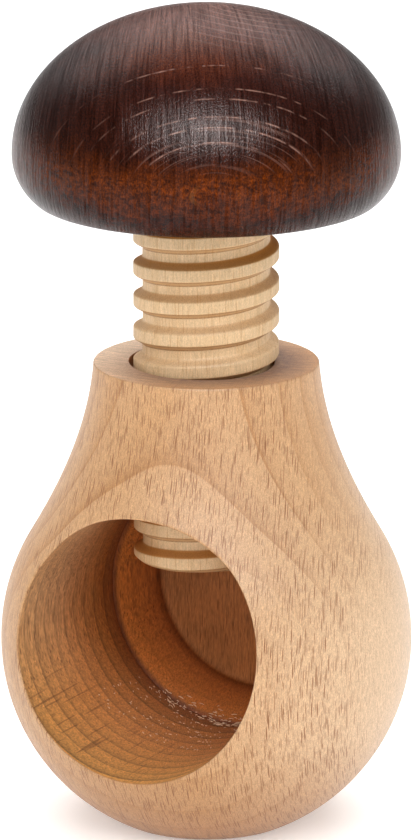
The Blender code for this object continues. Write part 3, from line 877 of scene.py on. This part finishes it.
def stained_beech(colours):
    """Beech under a dark brown stain and a satin lacquer: pores in the growth lines stay light."""
    material, add, shader = new_material("stained_beech")
    place = across, depth, along = growth(add, CAP_TURN, CAP_PITH, CAP_WANDER)
    position, _, _, height = object_place(add)

    # The stain by height: dark at the rim, thin in a belt over it, full above, and pinkish brown on top, which
    # is painted sheen.
    shift = fibres(add, place, (9.0, 9.0, 5.0), 3.0, (0.3, 0.7, -2.0 * MM, 2.0 * MM))
    level = add("Math", (height, shift), "ADD")
    level = add("MapRange", (level, 106.0 * MM, 144.0 * MM))
    # The top two stops, pinkish brown, are painted sheen.
    by_height = (
        (0.0, "#2c0d04"),
        (0.15, "#270b03"),
        (0.27, colours.stain_light),
        (0.33, colours.stain_light),
        (0.46, colours.stain_dark),
        (0.7, "#260a04"),
        (0.83, "#3e1505"),
        (0.93, "#4a2417"),
        (1.0, "#5a362a"),
    )
    base = add("ValToRGB", (level,), stops=by_height)

    # It is lighter in the middle of the front, a little to the left, and darker to the sides, which is painted
    # shade; it is streaked by the rays, and curled in the belt.
    # Painted shade: the stain is lighter a little left of the middle and darker towards the sides.
    leaning = add("Math", (across, 4.0), "ADD")
    leaning = add("Math", (leaning,), "ABSOLUTE")
    shade = add("MapRange", (leaning, 8.0, 26.0, 1.1, 0.65))
    belt = add("MapRange", (level, 0.42, 0.32))
    curl = fibres(add, place, (1.3, 1.3, 0.7), 4.0, (0.36, 0.66, 0.5, 1.7))
    ray = fibres(add, place, (0.42, 12.0, 6.0), 2.0)
    streak = add("MapRange", (ray, 0.35, 0.65, 0.62, 1.4))
    streak = add("Mix", {0: belt, 2: streak, 3: curl})
    speck = fibres(add, place, (0.24, 0.24, 0.4), 2.0, (0.3, 0.7, 0.4, 1.75))
    for factor in (shade, streak, speck):
        base = add("VectorMath", {0: base, 3: factor}, "SCALE")

    # Light pores: fine lines near the middle, and the pore lines' dashes, which fade to the sides and low down.
    inward = add("Math", (OUTERMOST, depth), "SUBTRACT")
    root = add("Math", (inward, 0.5), "POWER")
    fine = fibres(add, (across, root, along), (14.0, 0.06, 14.0), 1.0, (0.54, 0.68, 0.0, 0.22))
    core = add("MapRange", (root, 2.5, 2.0))
    fine = add("Math", (fine, core), "MULTIPLY")
    quarter = add("Math", (root, 0.25), "MULTIPLY")
    lines = add("ValToRGB", (quarter,), stops=pore_stops())
    dash = fibres(add, place, (3.0, 3.0, 9.0), 4.0, (0.45, 0.6, 0.0, 0.95))
    outer = add("Math", (across,), "ABSOLUTE")
    middle = add("MapRange", (outer, 9.0, 21.0, 1.0, 0.12))
    above = add("MapRange", (height, 119.5 * MM, 122.5 * MM, 0.05, 1.0))
    lines = add("Math", (lines, dash), "MULTIPLY")
    lines = add("Math", (lines, fine), "MAXIMUM")
    for factor in (middle, above):
        lines = add("Math", (lines, factor), "MULTIPLY")

    # The innermost ring of the belt shows as two short golden arcs, one on each side, which are a painted glint
    # on the ring.
    arcs = add("Math", (root, 0.66, 0.03), "COMPARE")
    from_middle = add("MapRange", (outer, 2.8, 4.4, 0.0, 0.12))
    to_ends = add("MapRange", (outer, 5.8, 4.8))
    for factor in (from_middle, to_ends):
        arcs = add("Math", (arcs, factor), "MULTIPLY")

    # Curved rings on the top, towards the right.
    crown = add("VectorMath", (position, CROWN_CENTRE), "SUBTRACT")
    crown = add("VectorMath", (crown, (1 / MM, 1 / MM, 0.0)), "MULTIPLY")
    crown = add("VectorMath", (crown,), "LENGTH")
    crown = add("Math", (crown, ray), "ADD")
    crown = add("Math", (crown, 1.1), "PINGPONG")
    crown = add("MapRange", (crown, 0.75, 1.05, 0.0, 0.22))
    top = add("MapRange", (upward(add), 0.9, 0.97))
    right = add("MapRange", (across, -6.0, 4.0))
    for factor in (top, right):
        crown = add("Math", (crown, factor), "MULTIPLY")

    for mask, pore in ((lines, "#9c7365"), (arcs, "#a0662c"), (crown, "#94766a")):
        base = add("Mix", {0: mask, 6: base, 7: rgba(pore)}, data_type="RGBA")
    lacquer = add("MapRange", (ray, 0.36, 0.62, 0.05, 0.17))
    connect(shader, {"Specular IOR Level": lacquer})
    relief = add("Math", (ray, 4.0, speck), "MULTIPLY_ADD")
    finish_wood(add, shader, base, 0.24, relief, 0.28, 0.1 * MM)
    return material


# ---------------------------------------------------------------- operators

# The camera: its azimuth round the object and its elevation in degrees, its distance from a target at a height
# on the axis, its focal length in sensor widths, and a small shift.
CAMERA_AZIMUTH = 26.5
CAMERA_ELEVATION = 15.03
CAMERA_DISTANCE = 1.300
CAMERA_TARGET = 0.06998
CAMERA_FOCAL = 9.142
CAMERA_SHIFT = 0.0014
SENSOR_WIDTH = 36.0

# The lights: name, azimuth from the camera, elevation, distance, size in metres, power in watts, and whether it
# lights the matt part of a surface or only shows in its gloss. All are aimed at a height on the axis.
LIGHTS = (
    ("front_softbox", 0.0, 42.0, 1.1, (1.2, 0.5), 8.3, "matt"),
    ("front_sheen", -2.0, 51.0, 1.1, (0.62, 0.34), 26.0, "gloss"),
    ("low_softbox", -4.0, 15.0, 1.6, (0.8, 0.5), 4.6, "matt"),
    ("back_softbox", 180.0, 62.0, 1.2, (1.6, 0.9), 16.0, "matt"),
    ("back_sheen", 180.0, 44.0, 1.2, (1.9, 0.7), 10.0, "gloss"),
    ("left_softbox", -100.0, 20.0, 1.3, (0.8, 1.2), 4.0, "matt"),
    ("right_softbox", 85.0, 16.0, 1.3, (0.8, 1.2), 4.0, "matt"),
)
LIGHTS_TARGET = 0.07

FLOOR_HALF = 3.0
FLOOR_GLOW = 0.32
WORLD_STRENGTH = 0.3
WHITE = (1.0, 1.0, 1.0, 1.0)


def place_round(name, data, azimuth, elevation, distance, height):
    """Place a light or a camera round a height on the axis and turn it to look there. Angles are in radians."""
    level = math.cos(elevation)
    away = np.array([math.sin(azimuth) * level, -math.cos(azimuth) * level, math.sin(elevation)])
    obj = bpy.data.objects.new(name, data)
    obj.location = away * distance + np.array([0.0, 0.0, height])
    obj.rotation_euler = (math.pi / 2 - elevation, 0.0, azimuth)
    bpy.context.scene.collection.objects.link(obj)
    return obj


class NUTCRACKER_OT_stage(bpy.types.Operator):
    """Set up the pale floor, the soft lights and the camera"""

    bl_idname = "nutcracker.stage"
    bl_label = "Stage"

    def execute(self, context):
        scene = context.scene
        scene.view_settings.view_transform = "Standard"
        world = bpy.data.worlds.new("studio")
        world.use_nodes = True
        background = world.node_tree.nodes["Background"]
        connect(background, {"Color": WHITE, "Strength": WORLD_STRENGTH})
        scene.world = world

        mesh = bpy.data.meshes.new("floor")
        corners = [(x * FLOOR_HALF, y * FLOOR_HALF, 0.0) for x, y in ((-1, -1), (1, -1), (1, 1), (-1, 1))]
        mesh.from_pydata(corners, [], [(0, 1, 2, 3)])
        floor = bpy.data.objects.new("floor", mesh)
        material, _, shader = new_material("pale_floor")
        connect(shader, {"Base Color": (0.9, 0.9, 0.9, 1.0), "Roughness": 0.9, "Specular IOR Level": 0.0})
        connect(shader, {"Emission Color": WHITE, "Emission Strength": FLOOR_GLOW})
        mesh.materials.append(material)
        scene.collection.objects.link(floor)

        front = math.radians(CAMERA_AZIMUTH)
        for name, azimuth, elevation, distance, size, power, reach in LIGHTS:
            light = bpy.data.lights.new(name, "AREA")
            light.shape = "RECTANGLE"
            light.size, light.size_y = size
            light.energy = power
            turn, lift = front + math.radians(azimuth), math.radians(elevation)
            lamp = place_round(name, light, turn, lift, distance, LIGHTS_TARGET)
            lamp.visible_glossy = reach == "gloss"
            lamp.visible_diffuse = reach == "matt"
            lamp.visible_camera = False

        camera = bpy.data.cameras.new("camera")
        camera.sensor_width = SENSOR_WIDTH
        camera.lens = SENSOR_WIDTH * CAMERA_FOCAL
        camera.shift_x = CAMERA_SHIFT
        camera.clip_end = 20.0
        lift = math.radians(CAMERA_ELEVATION)
        scene.camera = place_round("camera", camera, front, lift, CAMERA_DISTANCE, CAMERA_TARGET)
        return {"FINISHED"}


class NUTCRACKER_OT_body(bpy.types.Operator):
    """Build the turned body with its bored chamber and tapped neck"""

    bl_idname = "nutcracker.body"
    bl_label = "Body"

    def execute(self, context):
        s, colours = sizes(context), context.scene.nutcracker_colours
        body = build("turned_body", body_parts(s))
        body.data.materials.append(sanded_beech(colours))
        body.data.materials.append(bored_beech(colours, s))
        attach(body, "body")
        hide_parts("body")
        return {"FINISHED"}


class NUTCRACKER_OT_torn_fibres(bpy.types.Operator):
    """Scatter the splinters along the chamber's ledge"""

    bl_idname = "nutcracker.torn_fibres"
    bl_label = "Torn fibres"

    def execute(self, context):
        splinters = build("torn_fibres", torn_fibres(sizes(context)))
        splinters.data.materials.append(torn_beech())
        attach(splinters, "body")
        return {"FINISHED"}


class NUTCRACKER_OT_spindle(bpy.types.Operator):
    """Build the threaded wooden screw"""

    bl_idname = "nutcracker.spindle"
    bl_label = "Screw"

    def execute(self, context):
        s, colours = sizes(context), context.scene.nutcracker_colours
        spindle = build("threaded_screw", spindle_parts(s), 60.0)
        spindle.data.materials.append(pale_beech(colours, s))
        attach(spindle, "screw")
        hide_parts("spindle")
        return {"FINISHED"}


class NUTCRACKER_OT_cap(bpy.types.Operator):
    """Build the stained mushroom cap"""

    bl_idname = "nutcracker.cap"
    bl_label = "Cap"

    def execute(self, context):
        cap = build("mushroom_cap", cap_parts(sizes(context)))
        cap.data.materials.append(stained_beech(context.scene.nutcracker_colours))
        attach(cap, "screw")
        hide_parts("cap")
        return {"FINISHED"}


class NUTCRACKER_OT_dowel(bpy.types.Operator):
    """Give the hidden dowel its wood"""

    bl_idname = "nutcracker.dowel"
    bl_label = "Dowel"

    def execute(self, context):
        s, colours = sizes(context), context.scene.nutcracker_colours
        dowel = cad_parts["dowel"]
        dowel.data.materials.clear()
        dowel.data.materials.append(pale_beech(colours, s))
        return {"FINISHED"}


class NUTCRACKER_PT_panel(bpy.types.Panel):
    """The nutcracker's pieces, sizes and colours"""

    bl_idname = "NUTCRACKER_PT_panel"
    bl_label = "Nutcracker"
    bl_space_type = "VIEW_3D"
    bl_region_type = "UI"
    bl_category = "Nutcracker"

    def draw(self, context):
        column = self.layout.column(align=True)
        for operator in OPERATORS:
            column.operator(operator.bl_idname)
        for group in (context.scene.nutcracker_sizes, context.scene.nutcracker_colours):
            box = self.layout.box()
            for key in type(group).__annotations__:
                box.prop(group, key)


OPERATORS = (
    NUTCRACKER_OT_stage,
    NUTCRACKER_OT_body,
    NUTCRACKER_OT_torn_fibres,
    NUTCRACKER_OT_spindle,
    NUTCRACKER_OT_cap,
    NUTCRACKER_OT_dowel,
)
CLASSES = (NutcrackerSizes, NutcrackerColours, *OPERATORS, NUTCRACKER_PT_panel)


def register():
    for cls in CLASSES:
        bpy.utils.register_class(cls)
    bpy.types.Scene.nutcracker_sizes = PointerProperty(type=NutcrackerSizes)
    bpy.types.Scene.nutcracker_colours = PointerProperty(type=NutcrackerColours)


def unregister():
    del bpy.types.Scene.nutcracker_colours
    del bpy.types.Scene.nutcracker_sizes
    for cls in reversed(CLASSES):
        bpy.utils.unregister_class(cls)


def main():
    register()
    bpy.ops.nutcracker.stage()
    bpy.ops.nutcracker.body()
    bpy.ops.nutcracker.torn_fibres()
    bpy.ops.nutcracker.spindle()
    bpy.ops.nutcracker.cap()
    bpy.ops.nutcracker.dowel()


if __name__ == "__main__":
    main()
